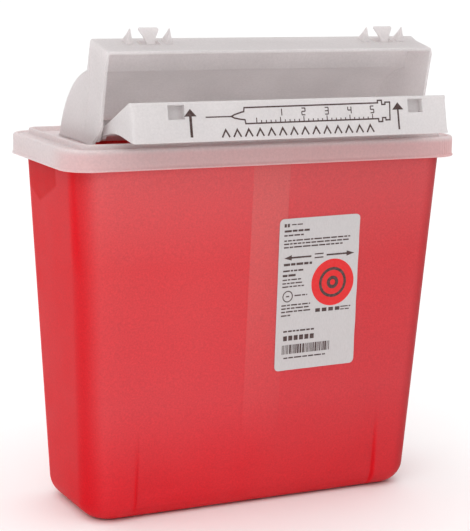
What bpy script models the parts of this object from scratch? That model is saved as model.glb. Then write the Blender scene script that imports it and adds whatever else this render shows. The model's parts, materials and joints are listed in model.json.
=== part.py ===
"""Sharps container: tapered bin, clipped-on lid frame, clipped-in hood and a see-saw drop tray.

Frame: the origin is the middle of the base, +X runs along the width, the front faces -Y and +Z is up.
Lengths are in metres.
"""
import math

import bmesh
import bpy
from mathutils import Matrix, Vector

MM = 0.001
GAP = 0.3 * MM                      # clearance between pieces that rest on each other

# Bin
BIN_BASE_HALF = (116.4 * MM, 42.4 * MM)
BIN_TOP_HALF = (128.2 * MM, 54.4 * MM)
BIN_TAPER_HEIGHT = 224.0 * MM
BIN_WALL = 1.9 * MM
BIN_CORNER = 20.0 * MM
BIN_LEAST_CORNER = 4.0 * MM
BIN_FILLET = 13.75 * MM
NECK_TOP = 229.4 * MM               # underside of the bin's flange
FLANGE_TOP = 231.4 * MM
FLANGE_HALF = (134.0 * MM, 54.9 * MM)
TOE_HALF_WIDTH = 85.0 * MM          # recess that thins the foot of the front wall
TOE_DEPTH = 2.2 * MM
TOE_TOP = 60.0 * MM
TOE_FOOT = 9.0 * MM
BAND_X = (-14.0 * MM, 11.0 * MM)    # flat raised band down the front wall
BAND_RISE = 0.35 * MM

# Lid frame
LIP_Z = 237.1 * MM                  # level of the outer lip, the datum of everything on the lid
RIM_HALF = (136.2 * MM, 56.7 * MM)
RIM_CORNER = 17.0 * MM
RIM_HEIGHT = 13.0 * MM
SKIRT_WALL = 1.6 * MM
DECK_LEVEL = -0.4 * MM              # top of the inner deck, from the lip
DECK_THICK = 2.2 * MM
CHANNEL_LEVEL = -1.0 * MM           # gutter between the lip and the ridge
RIDGE_INSET = (10.4 * MM, 6.1 * MM)
RIDGE_TOP = 2.7 * MM
RIM_RIB = 0.35 * MM                 # depth of the grip ribs on the rim's corners
RIM_BEAD = 0.6 * MM                 # the rim's foot stands out by this much
SEAL_INSET = 2.3 * MM               # seal wall, inside the bin's mouth
SEAL_WALL = 1.4 * MM
SEAL_DEPTH = 6.0 * MM
OPENING_HALF_X = 109.0 * MM
OPENING_Y = (-38.0 * MM, 22.0 * MM)

# Hood
HOOD_HALF_X = 112.5 * MM
HOOD_WALL = 2.0 * MM
BARREL_CENTRE = (-33.0 * MM, -13.4 * MM)   # Y, height above the lip
BARREL_RADIUS = 59.2 * MM
HOOD_FRONT_TOP = (-53.3 * MM, 57.5 * MM)
HOOD_BACK_TOP_Y = -27.2 * MM
MOUTH_EDGE = ((-52.9, 53.0), (-50.0, 40.5), (-47.4, 28.0), (-45.6, 18.0), (-44.6, 10.8), (-42.6, 8.2),
              (-39.0, 5.6), (-34.0, 2.4))     # front edge of the end walls, top to bottom: Y, height in mm
MOUTH_FOOT_Y = -32.4 * MM
HOOD_BACK_FOOT_Y = -21.4 * MM
HOOD_END_RADIUS = 2.6 * MM
HOOD_BACK_RADIUS = 5.0 * MM
HOOD_BACK_RISE = 0.8 * MM           # the top wall lifts a little towards its back edge
TOP_SLOPE = math.atan(0.203)        # the top wall falls towards the front
LEG_X = HOOD_HALF_X - 1.0 * MM
LEG_Y = (-20.0 * MM, 8.0 * MM)
LEG_ROOT = 2.0 * MM                 # the legs start this far up the hood's end walls
LEG_SIZE = (1.4 * MM, 8.0 * MM, 6.2 * MM)

# Tray
PIVOT = (-33.0 * MM, 8.0 * MM)      # Y, height above the lip
TRAY_HALF_X = 107.5 * MM
TRAY_WALL = 1.9 * MM
PANEL_THICK = 2.2 * MM
PLATE_BACK_Y = 16.3 * MM
FLOOR_UNDERSIDE = ((-30.0, 6.2), (-36.0, 5.9), (-43.6, 7.4), (-50.0, 8.9), (-56.7, 9.4), (-64.0, 9.0))
PIN_RADIUS = 3.0 * MM
PIN_REACH = 110.9 * MM
HUB_RADIUS = 5.0 * MM
BOSS_RADIUS = 6.0 * MM
BOSS_INNER_X = 109.0 * MM
PANEL_FOOT = (-83.7 * MM, 6.4 * MM)        # Y, height of the panel's outer face at its foot
PANEL_LEAN = math.atan2(5.4, 23.2)         # the panel leans back towards its top
POCKET_X = (-79.0 * MM, 84.3 * MM)         # the pockets take the feet of the lock plugs
POCKET_SIZE = (10.6 * MM, 4.9 * MM, 8.5 * MM)
POCKET_WALL = 1.2 * MM
POCKET_HEIGHT = 23.8 * MM

# Lock plugs and their guards
PLUG_X = {"lock_plug_left": -78.0 * MM, "lock_plug_right": 85.3 * MM}
PLUG_FOOT_Y = -39.3 * MM
PLUG_HEIGHT = 8.7 * MM
PLUG_FOOT_WIDTH = 5.3 * MM
PLUG_HEAD_WIDTH = 13.4 * MM
PLUG_LEAN = 5.6 * MM
SLOT_SIZE = (14.2 * MM, 7.9 * MM)
GUARD_OFFSETS = (-13.0 * MM, 12.8 * MM)    # along X, from the plug
GUARD_Y = -36.4 * MM
GUARD_HEIGHT = 9.0 * MM

# Label
LABEL_X = (6.2 * MM, 64.2 * MM)
LABEL_Z = (90.0 * MM, 189.4 * MM)
LABEL_THICK = 0.35 * MM
LABEL_CORNER = 3.0 * MM


def clear_scene():
    for old in list(bpy.data.objects):
        bpy.data.objects.remove(old, do_unlink=True)


def new_collection(name):
    collection = bpy.data.collections.new(name)
    bpy.context.scene.collection.children.link(collection)
    return collection


def make_material(name, colour, roughness, transmission=0.0):
    material = bpy.data.materials.new(name)
    material.use_nodes = True
    shader = material.node_tree.nodes["Principled BSDF"]
    shader.inputs["Base Color"].default_value = (*colour, 1.0)
    shader.inputs["Roughness"].default_value = roughness
    shader.inputs["Metallic"].default_value = 0.0
    shader.inputs["Transmission Weight"].default_value = transmission
    return material


def mesh_object(name, shape, collection, material=None):
    bmesh.ops.recalc_face_normals(shape, faces=shape.faces)
    mesh = bpy.data.meshes.new(name)
    shape.to_mesh(mesh)
    shape.free()
    mesh.shade_smooth()
    mesh.set_sharp_from_angle(angle=math.radians(30))
    piece = bpy.data.objects.new(name, mesh)
    collection.objects.link(piece)
    if material:
        mesh.materials.append(material)
    return piece


def combine(target, tool, operation):
    """Boolean a helper solid into a piece; the helper stays hidden among the cutters."""
    tool.hide_render = True
    tool.display_type = "WIRE"
    modifier = target.modifiers.new(tool.name, "BOOLEAN")
    modifier.operation = operation
    modifier.solver = "EXACT"
    modifier.object = tool


# ---- outlines and solids ----

def arc(centre, radius, start_deg, end_deg, steps):
    points = []
    for step in range(steps + 1):
        angle = math.radians(start_deg + (end_deg - start_deg) * step / steps)
        points.append((centre[0] + radius * math.cos(angle), centre[1] + radius * math.sin(angle)))
    return points


def rounded_outline(half_x, half_y, radius, steps, rib=0.0, front_marks=()):
    """Rounded rectangle, anticlockwise from the front's right end.

    rib alternates the corner's radius to raise grip ribs, and front_marks are (x, inset) points
    that shape the front side.
    """
    points = []
    corners = ((1, -1, -90), (1, 1, 0), (-1, 1, 90), (-1, -1, 180))
    for sign_x, sign_y, start in corners:
        centre = (sign_x * (half_x - radius), sign_y * (half_y - radius))
        for step in range(steps + 1):
            angle = math.radians(start + 90 * step / steps)
            reach = radius - (rib if step % 2 else 0.0)
            points.append((centre[0] + reach * math.cos(angle), centre[1] + reach * math.sin(angle)))
    points += [(x, -half_y + inset) for x, inset in front_marks]
    return points


def loft(rings):
    """Closed solid through rings of equal length, each a (points, z) pair, capped at both ends."""
    shape = bmesh.new()
    loops = [[shape.verts.new((x, y, z)) for x, y in points] for points, z in rings]
    for lower, upper in zip(loops, loops[1:]):
        for index in range(len(lower)):
            after = (index + 1) % len(lower)
            shape.faces.new((lower[index], lower[after], upper[after], upper[index]))
    shape.faces.new(loops[0])
    shape.faces.new(loops[-1])
    return shape


def prism(profile, half_x):
    """Solid with a (y, z) profile, extruded along X about the middle plane."""
    shape = bmesh.new()
    ends = [[shape.verts.new((side * half_x, y, z)) for y, z in profile] for side in (-1, 1)]
    for index in range(len(profile)):
        after = (index + 1) % len(profile)
        shape.faces.new((ends[0][index], ends[0][after], ends[1][after], ends[1][index]))
    shape.faces.new(ends[0])
    shape.faces.new(ends[1])
    return shape


def inset_profile(profile, amounts):
    """Move each profile point inwards by its own amount, square to the two edges that meet there."""
    count = len(profile)
    area = sum(profile[i - 1][0] * profile[i][1] - profile[i][0] * profile[i - 1][1] for i in range(count))
    turn = 1 if area > 0 else -1
    moved = []
    for index in range(count):
        here = Vector(profile[index])
        before = (here - Vector(profile[index - 1])).normalized()
        after = (Vector(profile[(index + 1) % count]) - here).normalized()
        normals = [Vector((-edge.y, edge.x)) * turn for edge in (before, after)]
        shift = (normals[0] + normals[1]) / (1 + normals[0].dot(normals[1]))
        moved.append(tuple(here + shift * amounts[index]))
    return moved


def soft_prism(profile, radii, half_x, steps=4):
    """Prism whose end walls round into its skin with a radius of each profile point's own."""
    sections = []
    for step in range(steps + 1):
        angle = math.pi / 2 * step / steps
        points = inset_profile(profile, [radius * (1 - math.sin(angle)) for radius in radii])
        reach = [half_x - radius * (1 - math.cos(angle)) for radius in radii]
        sections.append([(x, y, z) for x, (y, z) in zip(reach, points)])
    shape = bmesh.new()
    right = [[shape.verts.new(point) for point in section] for section in sections]
    left = [[shape.verts.new((-x, y, z)) for x, y, z in section] for section in sections]
    loops = right + left[::-1]
    for lower, upper in zip(loops, loops[1:]):
        for index in range(len(lower)):
            after = (index + 1) % len(lower)
            shape.faces.new((lower[index], lower[after], upper[after], upper[index]))
    shape.faces.new(loops[0])
    shape.faces.new(loops[-1])
    return shape


def block(size, matrix):
    shape = bmesh.new()
    bmesh.ops.create_cube(shape, size=1.0, matrix=matrix @ Matrix.Diagonal((*size, 1.0)))
    return shape


def rod(radius, x_start, x_end, y, z, sides=24):
    """Round bar along X."""
    shape = bmesh.new()
    turn = Matrix.Rotation(math.pi / 2, 4, "Y")
    place = Matrix.Translation(((x_start + x_end) / 2, y, z)) @ turn
    bmesh.ops.create_cone(shape, cap_ends=True, segments=sides, radius1=radius, radius2=radius,
                          depth=abs(x_end - x_start), matrix=place)
    return shape


# ---- bin ----

def bin_half(z):
    share = z / BIN_TAPER_HEIGHT
    return tuple(base + (top - base) * share for base, top in zip(BIN_BASE_HALF, BIN_TOP_HALF))


def front_marks(z, with_band):
    """Inset of the front wall: the toe recess fades out up and down, and the band stands proud."""
    toe = TOE_DEPTH * max(0.0, 1.0 - z / TOE_TOP) * min(1.0, z / TOE_FOOT)
    band = toe - (BAND_RISE if with_band else 0.0)
    edge = 0.3 * MM
    return ((-TOE_HALF_WIDTH - edge, 0.0), (-TOE_HALF_WIDTH, toe),
            (BAND_X[0] - edge, toe), (BAND_X[0], band), (BAND_X[1], band), (BAND_X[1] + edge, toe),
            (TOE_HALF_WIDTH, toe), (TOE_HALF_WIDTH + edge, 0.0))


def bin_ring(z, inset=0.0, half=None, with_band=False):
    half_x, half_y = half if half else bin_half(z)
    radius = max(BIN_CORNER - inset, BIN_LEAST_CORNER)
    marks = front_marks(z, with_band)
    return rounded_outline(half_x - inset, half_y - inset, radius, 8, front_marks=marks), z


def build_bin(collection, material):
    rings = []
    fillet_steps = 5
    for step in range(fillet_steps + 1):
        angle = math.pi / 2 * step / fillet_steps
        inset = BIN_FILLET * (1 - math.sin(angle))
        rings.append(bin_ring(BIN_FILLET * (1 - math.cos(angle)), inset))
    rings.append(bin_ring(TOE_TOP * 0.6, with_band=True))
    rings.append(bin_ring(TOE_TOP, with_band=True))
    rings.append(bin_ring(BIN_TAPER_HEIGHT - 4 * MM, with_band=True))
    rings.append(bin_ring(BIN_TAPER_HEIGHT, half=BIN_TOP_HALF))
    rings.append(bin_ring(NECK_TOP, half=BIN_TOP_HALF))
    rings.append(bin_ring(NECK_TOP, half=FLANGE_HALF))
    rings.append(bin_ring(FLANGE_TOP, half=FLANGE_HALF))
    rings.append(bin_ring(FLANGE_TOP, BIN_WALL, half=BIN_TOP_HALF))
    rings.append(bin_ring(BIN_TAPER_HEIGHT, BIN_WALL, half=BIN_TOP_HALF))
    rings.append(bin_ring(TOE_TOP, BIN_WALL))
    for step in reversed(range(fillet_steps + 1)):
        angle = math.pi / 2 * step / fillet_steps
        depth = (BIN_FILLET - BIN_WALL) * (1 - math.cos(angle))
        inset = BIN_WALL + (BIN_FILLET - BIN_WALL) * (1 - math.sin(angle))
        rings.append(bin_ring(depth + BIN_WALL, inset))
    return mesh_object("container_body", loft(rings), collection, material)


# ---- lid frame ----

def rim_ring(inset_x, inset_y, height, rib=0.0, corner=None):
    """Ring of the lid, inset from the rim's outline; its corners follow the rim's unless corner is given."""
    radius = RIM_CORNER - (inset_x + inset_y) / 2 if corner is None else corner
    points = rounded_outline(RIM_HALF[0] - inset_x, RIM_HALF[1] - inset_y, radius, 12, rib)
    return points, LIP_Z + height


def build_lid(collection, cutters, material):
    underside = DECK_LEVEL - DECK_THICK
    seal_foot = underside - SEAL_DEPTH
    seal_x, seal_y = (rim - mouth + SEAL_INSET for rim, mouth in zip(RIM_HALF, BIN_TOP_HALF))
    seal_corner = BIN_CORNER - SEAL_INSET
    inner_x, inner_y, inner_corner = seal_x + SEAL_WALL, seal_y + SEAL_WALL, seal_corner - SEAL_WALL
    ridge_x, ridge_y = RIDGE_INSET
    rings = [
        rim_ring(inner_x, inner_y, underside, corner=inner_corner),
        rim_ring(inner_x, inner_y, seal_foot, corner=inner_corner),
        rim_ring(seal_x, seal_y, seal_foot, corner=seal_corner),
        rim_ring(seal_x, seal_y, underside, corner=seal_corner),
        rim_ring(SKIRT_WALL, SKIRT_WALL, underside),
        rim_ring(SKIRT_WALL, SKIRT_WALL, -RIM_HEIGHT),
        rim_ring(-RIM_BEAD, -RIM_BEAD, -RIM_HEIGHT),
        rim_ring(-RIM_BEAD, -RIM_BEAD, -RIM_HEIGHT + 1.0 * MM),
        rim_ring(0.0, 0.0, -RIM_HEIGHT + 1.8 * MM, RIM_RIB),
        rim_ring(0.0, 0.0, -2.4 * MM, RIM_RIB),
        rim_ring(0.1 * MM, 0.1 * MM, -1.8 * MM),
        rim_ring(0.6 * MM, 0.6 * MM, -0.5 * MM),
        rim_ring(1.8 * MM, 1.8 * MM, 0.0),
        rim_ring(3.2 * MM, 3.2 * MM, 0.0),
        rim_ring(3.6 * MM, 3.6 * MM, CHANNEL_LEVEL),
        rim_ring(ridge_x, ridge_y, CHANNEL_LEVEL),
        rim_ring(ridge_x + 0.5 * MM, ridge_y + 0.5 * MM, RIDGE_TOP - 0.4 * MM),
        rim_ring(ridge_x + 0.9 * MM, ridge_y + 0.9 * MM, RIDGE_TOP),
        rim_ring(ridge_x + 1.7 * MM, ridge_y + 1.7 * MM, RIDGE_TOP),
        rim_ring(ridge_x + 2.3 * MM, ridge_y + 2.3 * MM, DECK_LEVEL),
    ]
    lid = mesh_object("lid_frame", loft(rings), collection, material)

    opening = rounded_outline(OPENING_HALF_X, (OPENING_Y[1] - OPENING_Y[0]) / 2, 3 * MM, 4)
    middle = (OPENING_Y[0] + OPENING_Y[1]) / 2
    opening = [(x, y + middle) for x, y in opening]
    hole = loft([(opening, LIP_Z - 12 * MM), (opening, LIP_Z + 6 * MM)])
    combine(lid, mesh_object("cut_drop_opening", hole, cutters), "DIFFERENCE")
    for side in (-1, 1):
        for number, y in enumerate(LEG_Y):
            size = (LEG_SIZE[0] + 0.8 * MM, LEG_SIZE[1] + 1.0 * MM, 12 * MM)
            slot = block(size, Matrix.Translation((side * LEG_X, y, LIP_Z)))
            combine(lid, mesh_object(f"cut_leg_slot_{side}_{number}", slot, cutters), "DIFFERENCE")
    return lid


# ---- hood ----

def top_height(y):
    """Height of the hood's top wall above the lip."""
    return HOOD_FRONT_TOP[1] + (y - HOOD_FRONT_TOP[0]) * math.tan(TOP_SLOPE)


def barrel_angle(height, radius):
    """Angle on the barrel at a height above the lip, in degrees from +Y."""
    return math.degrees(math.asin((height - BARREL_CENTRE[1]) / radius))


def lifted(profile):
    return [(y, LIP_Z + height) for y, height in profile]


def hood_outer_profile():
    """The hood's side view, and the radius at which its end walls round into each point."""
    foot = DECK_LEVEL + GAP
    foot_angle = barrel_angle(foot, BARREL_RADIUS)
    crease = math.degrees(math.acos((HOOD_BACK_FOOT_Y - BARREL_CENTRE[0]) / BARREL_RADIUS))
    back_top = top_height(HOOD_BACK_TOP_Y) + HOOD_BACK_RISE
    barrel = arc(BARREL_CENTRE, BARREL_RADIUS, foot_angle, crease, 14)
    back = [
        (HOOD_BACK_TOP_Y + 0.9 * MM, back_top - 3.0 * MM),
        (HOOD_BACK_TOP_Y + 0.2 * MM, back_top - 1.0 * MM),
        (HOOD_BACK_TOP_Y - 1.2 * MM, back_top - 0.2 * MM),
    ]
    top = [(-36.0 * MM, top_height(-36.0 * MM)), HOOD_FRONT_TOP]
    mouth = [(y * MM, height * MM) for y, height in MOUTH_EDGE]
    profile = [(MOUTH_FOOT_Y, foot)] + barrel + back + top + mouth
    edge = 0.3 * MM
    radii = [edge, edge] + [HOOD_END_RADIUS] * (len(barrel) - 1) + [HOOD_BACK_RADIUS] * len(back)
    radii += [HOOD_END_RADIUS, HOOD_END_RADIUS] + [edge] * len(mouth)
    return lifted(profile), radii


def hood_inner_profile():
    radius = BARREL_RADIUS - HOOD_WALL
    back_offset = HOOD_WALL / math.cos(math.atan2(HOOD_BACK_FOOT_Y - HOOD_BACK_TOP_Y, 18 * MM))
    crease_y = HOOD_BACK_FOOT_Y - back_offset
    crease = math.degrees(math.acos((crease_y - BARREL_CENTRE[0]) / radius))
    drop = HOOD_WALL / math.cos(TOP_SLOPE)
    inner_back = HOOD_BACK_TOP_Y - back_offset + 0.5 * MM
    front = HOOD_FRONT_TOP[0] - 12 * MM
    foot = -8 * MM
    profile = [(front, foot)]
    profile += arc(BARREL_CENTRE, radius, barrel_angle(foot, radius), crease, 15)
    profile += [(inner_back, top_height(inner_back) - drop), (front, top_height(front) - drop)]
    return lifted(profile)


def hood_top_frame(x, y):
    """Frame on the hood's top wall: +Y runs up the slope to the back, +Z is the wall's outward normal."""
    place = Matrix.Translation((x, y, LIP_Z + top_height(y)))
    return place @ Matrix.Rotation(TOP_SLOPE, 4, "X")


def guard_fin(matrix):
    """Pyramid that guards a lock plug: four base corners and an apex near its front."""
    shape = bmesh.new()
    base = [(-2.2, -1.8), (2.2, -1.8), (2.2, 7.4), (-2.2, 7.4)]
    tip = [(-0.5, 0.3), (0.5, 0.3), (0.5, 1.3), (-0.5, 1.3)]
    loops = [[shape.verts.new(matrix @ Vector((x * MM, y * MM, z))) for x, y in corners]
             for corners, z in ((base, -0.8 * MM), (tip, GUARD_HEIGHT))]
    for index in range(4):
        after = (index + 1) % 4
        shape.faces.new((loops[0][index], loops[0][after], loops[1][after], loops[1][index]))
    shape.faces.new(loops[0])
    shape.faces.new(loops[1])
    return shape


def build_hood(collection, cutters, material):
    profile, radii = hood_outer_profile()
    outer = soft_prism(profile, radii, HOOD_HALF_X)
    hood = mesh_object("hood_shell", outer, collection, material)
    pivot_y, pivot_z = PIVOT[0], LIP_Z + PIVOT[1]

    inside = prism(hood_inner_profile(), HOOD_HALF_X - HOOD_WALL)
    combine(hood, mesh_object("cut_hood_inside", inside, cutters), "DIFFERENCE")
    for side in (-1, 1):
        boss = rod(BOSS_RADIUS, side * BOSS_INNER_X, side * (HOOD_HALF_X - 0.6 * MM), pivot_y, pivot_z)
        combine(hood, mesh_object(f"add_boss_{side}", boss, cutters), "UNION")
        bore_start, bore_end = side * (BOSS_INNER_X - MM), side * (PIN_REACH + 0.4 * MM)
        bore = rod(PIN_RADIUS + GAP, bore_start, bore_end, pivot_y, pivot_z)
        combine(hood, mesh_object(f"cut_bore_{side}", bore, cutters), "DIFFERENCE")
        for number, y in enumerate(LEG_Y):
            thick, width, reach = LEG_SIZE
            leg = block((thick, width, reach + LEG_ROOT),
                        Matrix.Translation((side * LEG_X, y, LIP_Z + (LEG_ROOT - reach) / 2)))
            combine(hood, mesh_object(f"add_leg_{side}_{number}", leg, cutters), "UNION")
    for name, plug_x in PLUG_X.items():
        slot_frame = hood_top_frame(plug_x, PLUG_FOOT_Y)
        slot_centre = Matrix.Translation((0, SLOT_SIZE[1] / 2 - 0.4 * MM, 0))
        slot = block((*SLOT_SIZE, 8 * MM), slot_frame @ slot_centre)
        combine(hood, mesh_object("cut_slot_" + name, slot, cutters), "DIFFERENCE")
        for number, offset in enumerate(GUARD_OFFSETS):
            fin = guard_fin(hood_top_frame(plug_x + offset, GUARD_Y))
            combine(hood, mesh_object(f"add_guard_{number}_{name}", fin, cutters), "UNION")
    return hood


# ---- tray ----

def panel_point(height, depth):
    """(y, height) of a point on the front panel, at a depth behind its outer face."""
    y = PANEL_FOOT[0] + (height - PANEL_FOOT[1]) * math.tan(PANEL_LEAN) + depth * math.cos(PANEL_LEAN)
    return y, height - depth * math.sin(PANEL_LEAN)


def tray_outer_profile():
    """Side view of the tray: panel, dished floor, and the thin plate that runs back over the opening."""
    panel = [PANEL_FOOT, panel_point(29.0 * MM, 0.0), panel_point(29.7 * MM, 0.6 * MM),
             panel_point(29.9 * MM, 1.6 * MM), (-75.2 * MM, 29.3 * MM)]
    cheek = [(-37.5 * MM, 11.4 * MM), (-28.2 * MM, 9.4 * MM)]
    plate = [(PLATE_BACK_Y, 9.4 * MM), (PLATE_BACK_Y, 7.5 * MM), (-27.0 * MM, 7.5 * MM)]
    floor = [(y * MM, height * MM) for y, height in FLOOR_UNDERSIDE]
    return lifted(panel + cheek + plate + floor + [(-80.5 * MM, 6.4 * MM)])


def tray_inner_profile():
    """Side view of the space above the floor and between the end walls."""
    panel = [panel_point(8.9 * MM, PANEL_THICK), panel_point(36.0 * MM, PANEL_THICK)]
    back = [(24.0 * MM, 36.0 * MM), (24.0 * MM, 9.4 * MM), (-27.5 * MM, 9.4 * MM), (-30.5 * MM, 8.1 * MM)]
    floor = [(y * MM, height * MM + TRAY_WALL) for y, height in FLOOR_UNDERSIDE[1:]]
    return lifted(panel + back + floor + [(-79.0 * MM, 8.5 * MM)])


def panel_frame(x, height):
    """Frame on the panel's outer face: -Y is its outward normal."""
    y, level = panel_point(height, 0.0)
    return Matrix.Translation((x, y, LIP_Z + level)) @ Matrix.Rotation(-PANEL_LEAN, 4, "X")


def build_tray(collection, cutters, material):
    tray = mesh_object("drop_tray", prism(tray_outer_profile(), TRAY_HALF_X), collection, material)
    trough = prism(tray_inner_profile(), TRAY_HALF_X - TRAY_WALL)
    combine(tray, mesh_object("cut_trough", trough, cutters), "DIFFERENCE")
    pivot_y, pivot_z = PIVOT[0], LIP_Z + PIVOT[1]
    for side in (-1, 1):
        hub = rod(HUB_RADIUS, side * (TRAY_HALF_X - TRAY_WALL), side * TRAY_HALF_X, pivot_y, pivot_z)
        combine(tray, mesh_object(f"add_hub_{side}", hub, cutters), "UNION")
        pin = rod(PIN_RADIUS, side * (TRAY_HALF_X - MM), side * PIN_REACH, pivot_y, pivot_z)
        combine(tray, mesh_object(f"add_pin_{side}", pin, cutters), "UNION")
    for number, pocket_x in enumerate(POCKET_X):
        width, depth, height = POCKET_SIZE
        frame = panel_frame(pocket_x, POCKET_HEIGHT)
        sink = 0.4 * MM                 # the box starts inside the panel, clear of its outer face
        box_depth = depth + POCKET_WALL - sink
        box_frame = frame @ Matrix.Translation((0, sink + box_depth / 2, 0))
        box = block((width + 2 * POCKET_WALL, box_depth, height + 2 * POCKET_WALL), box_frame)
        combine(tray, mesh_object(f"add_pocket_{number}", box, cutters), "UNION")
        hollow = block((width, 2 * depth, height), frame)
        combine(tray, mesh_object(f"cut_pocket_{number}", hollow, cutters), "DIFFERENCE")
    return tray


# ---- lock plugs ----

def build_plug(name, collection, material):
    """Leaning wedge: a narrow foot in the slot and a broad head to push."""
    frame = hood_top_frame(PLUG_X[name], PLUG_FOOT_Y)
    foot, head = PLUG_FOOT_WIDTH / 2, PLUG_HEAD_WIDTH / 2
    sections = (
        (-HOOD_WALL + 0.1 * MM, foot, 0.0, 2.2 * MM),
        (0.0, foot, 0.0, 2.2 * MM),
        (PLUG_HEIGHT - 1.6 * MM, head - 0.5 * MM, PLUG_LEAN * 0.82, PLUG_LEAN * 0.82 + 1.8 * MM),
        (PLUG_HEIGHT - 0.6 * MM, head, PLUG_LEAN * 0.93, PLUG_LEAN * 0.93 + 1.7 * MM),
        (PLUG_HEIGHT, head - 0.6 * MM, PLUG_LEAN, PLUG_LEAN + 1.6 * MM),
    )
    shape = bmesh.new()
    loops = []
    for height, half_width, front, back in sections:
        corners = ((-half_width, front), (half_width, front), (half_width, back), (-half_width, back))
        loops.append([shape.verts.new(frame @ Vector((x, y, height))) for x, y in corners])
    for lower, upper in zip(loops, loops[1:]):
        for index in range(4):
            after = (index + 1) % 4
            shape.faces.new((lower[index], lower[after], upper[after], upper[index]))
    shape.faces.new(loops[0])
    shape.faces.new(loops[-1])
    return mesh_object(name, shape, collection, material)


# ---- label ----

def build_label(collection, material):
    """Label on the front wall, parallel to the wall's taper."""
    half_x = (LABEL_X[1] - LABEL_X[0]) / 2
    half_z = (LABEL_Z[1] - LABEL_Z[0]) / 2
    outline = rounded_outline(half_x, half_z, LABEL_CORNER, 4)
    middle_z = (LABEL_Z[0] + LABEL_Z[1]) / 2
    tilt = math.atan((BIN_TOP_HALF[1] - BIN_BASE_HALF[1]) / BIN_TAPER_HEIGHT)
    stand_off = BAND_RISE + GAP
    shape = loft([(outline, stand_off), (outline, stand_off + LABEL_THICK)])
    place = Matrix.Translation(((LABEL_X[0] + LABEL_X[1]) / 2, -bin_half(middle_z)[1], middle_z))
    shape.transform(place @ Matrix.Rotation(math.pi / 2 + tilt, 4, "X"))
    return mesh_object("container_label", shape, collection, material)


def main():
    clear_scene()
    parts = new_collection("sharps_container")
    cutters = new_collection("cutters")
    red = make_material("translucent_red", (0.62, 0.03, 0.045), 0.35, 0.4)
    clear = make_material("natural_polypropylene", (0.78, 0.76, 0.75), 0.4, 0.3)
    white = make_material("white_polypropylene", (0.84, 0.82, 0.81), 0.45)
    paper = make_material("label_film", (0.86, 0.85, 0.85), 0.5)

    build_bin(parts, red)
    build_lid(parts, cutters, clear)
    build_hood(parts, cutters, clear)
    build_tray(parts, cutters, white)
    for name in PLUG_X:
        build_plug(name, parts, clear)
    build_label(parts, paper)


main()
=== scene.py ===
import json
import math
import random

import bmesh
import bpy
from mathutils import Matrix, Vector


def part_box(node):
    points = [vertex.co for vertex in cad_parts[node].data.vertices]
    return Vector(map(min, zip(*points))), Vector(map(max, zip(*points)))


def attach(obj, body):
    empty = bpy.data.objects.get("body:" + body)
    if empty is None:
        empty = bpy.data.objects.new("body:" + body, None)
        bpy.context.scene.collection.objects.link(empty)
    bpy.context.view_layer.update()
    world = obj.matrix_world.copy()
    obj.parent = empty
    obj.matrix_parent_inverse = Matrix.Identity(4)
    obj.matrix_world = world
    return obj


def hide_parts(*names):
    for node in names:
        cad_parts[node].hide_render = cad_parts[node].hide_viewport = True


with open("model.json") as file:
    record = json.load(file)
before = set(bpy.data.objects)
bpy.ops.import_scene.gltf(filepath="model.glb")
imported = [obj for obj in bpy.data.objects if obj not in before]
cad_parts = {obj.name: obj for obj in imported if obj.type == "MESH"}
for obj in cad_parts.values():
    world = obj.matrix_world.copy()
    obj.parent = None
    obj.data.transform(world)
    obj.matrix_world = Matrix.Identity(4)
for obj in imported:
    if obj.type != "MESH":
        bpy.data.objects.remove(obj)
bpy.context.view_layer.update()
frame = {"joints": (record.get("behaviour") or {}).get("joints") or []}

MM = 0.001
SHARP_ANGLE = math.radians(35)

# ---- sizes, from the frame where it has them ----

BIN_TOP_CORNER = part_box("container_body")[1]
LID_TOP_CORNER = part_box("lid_frame")[1]
HOOD_TOP_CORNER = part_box("hood_shell")[1]
TRAY_LOW, TRAY_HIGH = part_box("drop_tray")
LABEL_LOW, LABEL_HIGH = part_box("container_label")
JOINTS = {joint["name"]: joint for joint in frame["joints"]}

# Bin
BIN_BASE_HALF = (116.4 * MM, 42.4 * MM)
BIN_TOP_HALF = (128.2 * MM, 54.4 * MM)
BIN_TAPER_HEIGHT = 224.0 * MM
BIN_WALL = 1.9 * MM
BIN_CORNER = 20.0 * MM
BIN_LEAST_CORNER = 4.0 * MM
BIN_FILLET = 13.75 * MM
FLANGE_HALF = (BIN_TOP_CORNER.x, BIN_TOP_CORNER.y)
FLANGE_TOP = BIN_TOP_CORNER.z
FLANGE_THICK = 2.0 * MM
TOE_HALF_WIDTH = 85.0 * MM
TOE_DEPTH = 2.2 * MM
TOE_TOP = 60.0 * MM
TOE_FOOT = 9.0 * MM
TOE_EDGE = 1.2 * MM                 # width over which the toe recess steps in
BAND_X = (-14.0 * MM, 11.0 * MM)
BAND_RISE = 0.35 * MM
BAND_EDGE = 0.7 * MM

DARK_REFLECTION_Y = 19.0 * MM                 # painted dark reflection at the top of the left wall
DARK_REFLECTION_Z = 198.5 * MM
DARK_REFLECTION_SLOPE = 0.435

# Lid frame
RIM_BEAD = 0.6 * MM
RIDGE_TOP = 2.7 * MM
LIP_Z = LID_TOP_CORNER.z - RIDGE_TOP
RIM_HALF = (LID_TOP_CORNER.x - RIM_BEAD, LID_TOP_CORNER.y - RIM_BEAD)
RIM_CORNER = 17.0 * MM
RIM_HEIGHT = 13.0 * MM
SKIRT_WALL = 1.6 * MM
DECK_LEVEL = -0.4 * MM
DECK_THICK = 2.2 * MM
CHANNEL_LEVEL = -1.0 * MM
RIDGE_INSET = (10.4 * MM, 6.1 * MM)
RIB_DEPTH = 0.3 * MM
RIB_COUNT = 13                      # grip ribs round one corner
SEAL_INSET = 2.3 * MM
SEAL_WALL = 1.4 * MM
SEAL_DEPTH = 6.0 * MM
OPENING_HALF_X = 109.0 * MM
OPENING_Y = (-38.0 * MM, 22.0 * MM)
OPENING_CORNER = 3.0 * MM

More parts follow.
